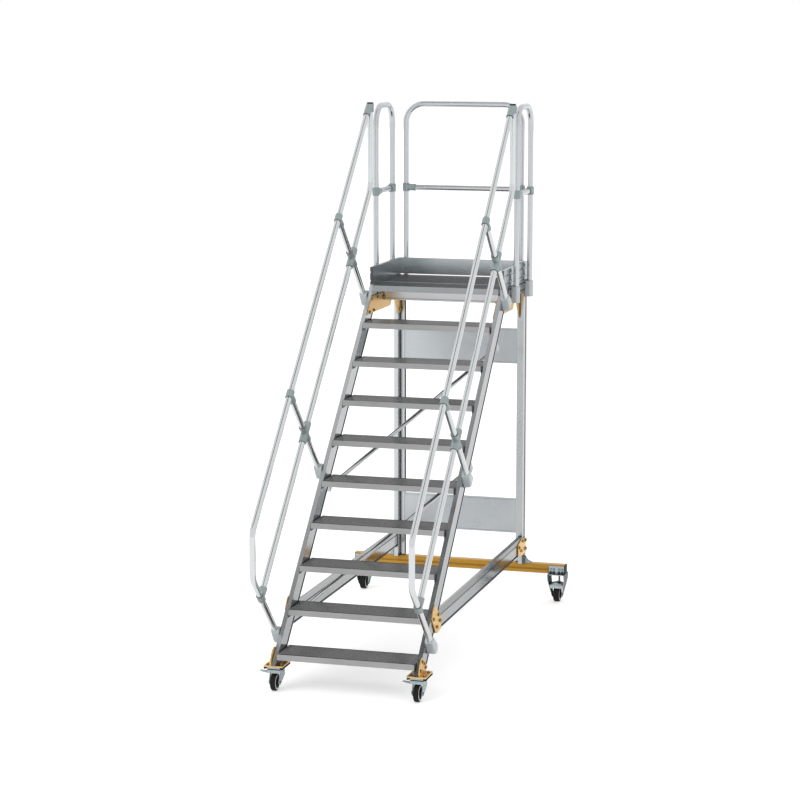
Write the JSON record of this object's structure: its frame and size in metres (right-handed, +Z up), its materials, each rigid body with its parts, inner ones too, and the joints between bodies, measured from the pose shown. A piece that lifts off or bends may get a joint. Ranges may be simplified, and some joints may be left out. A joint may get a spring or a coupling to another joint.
{
  "type": "mobile platform stairs",
  "caption": "Wheeled aluminium access stairs with ribbed treads, tubular handrails, a guarded top platform, a wide yellow rear crossbeam, swivelling front castors and fixed rear castors.",
  "frame": {"origin": "floor level under the middle of the overall width and length", "axes": "+X to the climber's right, +Y up the stairs towards the platform, +Z up"},
  "size_m": [1.412, 2.842, 3.205],
  "materials": {
    "aluminium": "satin mill finish",
    "tread": "ribbed mill finish",
    "side_profile": "dark satin",
    "tube": "satin",
    "fitting": "matt moulded",
    "yellow_paint": "powder coat",
    "black_plastic": "matt",
    "zinc": "zinc plated",
    "tyre": "matt rubber with grey rim"
  },
  "bodies": {
    "frame": {"stringer_left": "aluminium", "stringer_right": "aluminium", "platform_front_beam": "aluminium", "platform_rear_beam": "aluminium", "rear_leg_left": "aluminium", "rear_leg_right": "aluminium", "rear_panel_upper": "aluminium", "rear_panel_lower": "aluminium", "base_strut_left": "aluminium", "base_strut_right": "aluminium", "diagonal_lower": "aluminium", "diagonal_upper": "aluminium", "treads": "tread", "platform_deck": "tread", "platform_side_left": "side_profile", "platform_side_right": "side_profile", "toe_board_left": "side_profile", "toe_board_right": "side_profile", "toe_board_rear": "side_profile", "handrail_left": "tube", "handrail_right": "tube", "knee_rail_left": "tube", "knee_rail_right": "tube", "post_mid_left": "tube", "post_mid_right": "tube", "post_upper_left": "tube", "post_upper_right": "tube", "guard_left": "tube", "guard_right": "tube", "guard_rear": "tube", "rail_fittings_left": "fitting", "rail_fittings_right": "fitting", "guard_fittings_left": "fitting", "guard_fittings_right": "fitting", "guard_fittings_rear": "fitting", "crossbeam": "yellow_paint", "gussets_left": "yellow_paint", "gussets_right": "yellow_paint", "strut_brackets_left": "yellow_paint", "strut_brackets_right": "yellow_paint", "castor_plate_left": "yellow_paint", "castor_plate_right": "yellow_paint", "crossbeam_cap_left": "black_plastic", "crossbeam_cap_right": "black_plastic", "tread_caps_left": "black_plastic", "tread_caps_right": "black_plastic", "upright_cap_left": "black_plastic", "upright_cap_right": "black_plastic", "castor_pad_left": "black_plastic", "castor_pad_right": "black_plastic", "leg_foot_left": "zinc", "leg_foot_right": "zinc", "rear_castor_left": "zinc", "rear_castor_right": "zinc"},
    "castor_left": {"castor_fork_left": "zinc"},
    "castor_right": {"castor_fork_right": "zinc"},
    "wheel_front_left": {"front_wheel_left": "tyre"},
    "wheel_front_right": {"front_wheel_right": "tyre"},
    "wheel_rear_left": {"rear_wheel_left": "tyre"},
    "wheel_rear_right": {"rear_wheel_right": "tyre"}
  },
  "joints": [
    {"name": "front_left_swivel", "type": "hinge", "parent": "frame", "child": "castor_left", "pos_m": [-0.416, -1.1135, 0.12], "axis": [0, 0, 1], "continuous": true},
    {"name": "front_left_roll", "type": "hinge", "parent": "castor_left", "child": "wheel_front_left", "pos_m": [-0.416, -1.1515, 0.05], "axis": [1, 0, 0], "continuous": true},
    {"name": "rear_left_roll", "type": "hinge", "parent": "frame", "child": "wheel_rear_left", "pos_m": [-0.651, 1.3425, 0.05], "axis": [1, 0, 0], "continuous": true},
    {"name": "front_right_swivel", "type": "hinge", "parent": "frame", "child": "castor_right", "pos_m": [0.416, -1.1135, 0.12], "axis": [0, 0, 1], "continuous": true},
    {"name": "front_right_roll", "type": "hinge", "parent": "castor_right", "child": "wheel_front_right", "pos_m": [0.416, -1.1515, 0.05], "axis": [1, 0, 0], "continuous": true},
    {"name": "rear_right_roll", "type": "hinge", "parent": "frame", "child": "wheel_rear_right", "pos_m": [0.651, 1.3425, 0.05], "axis": [1, 0, 0], "continuous": true}
  ]
}
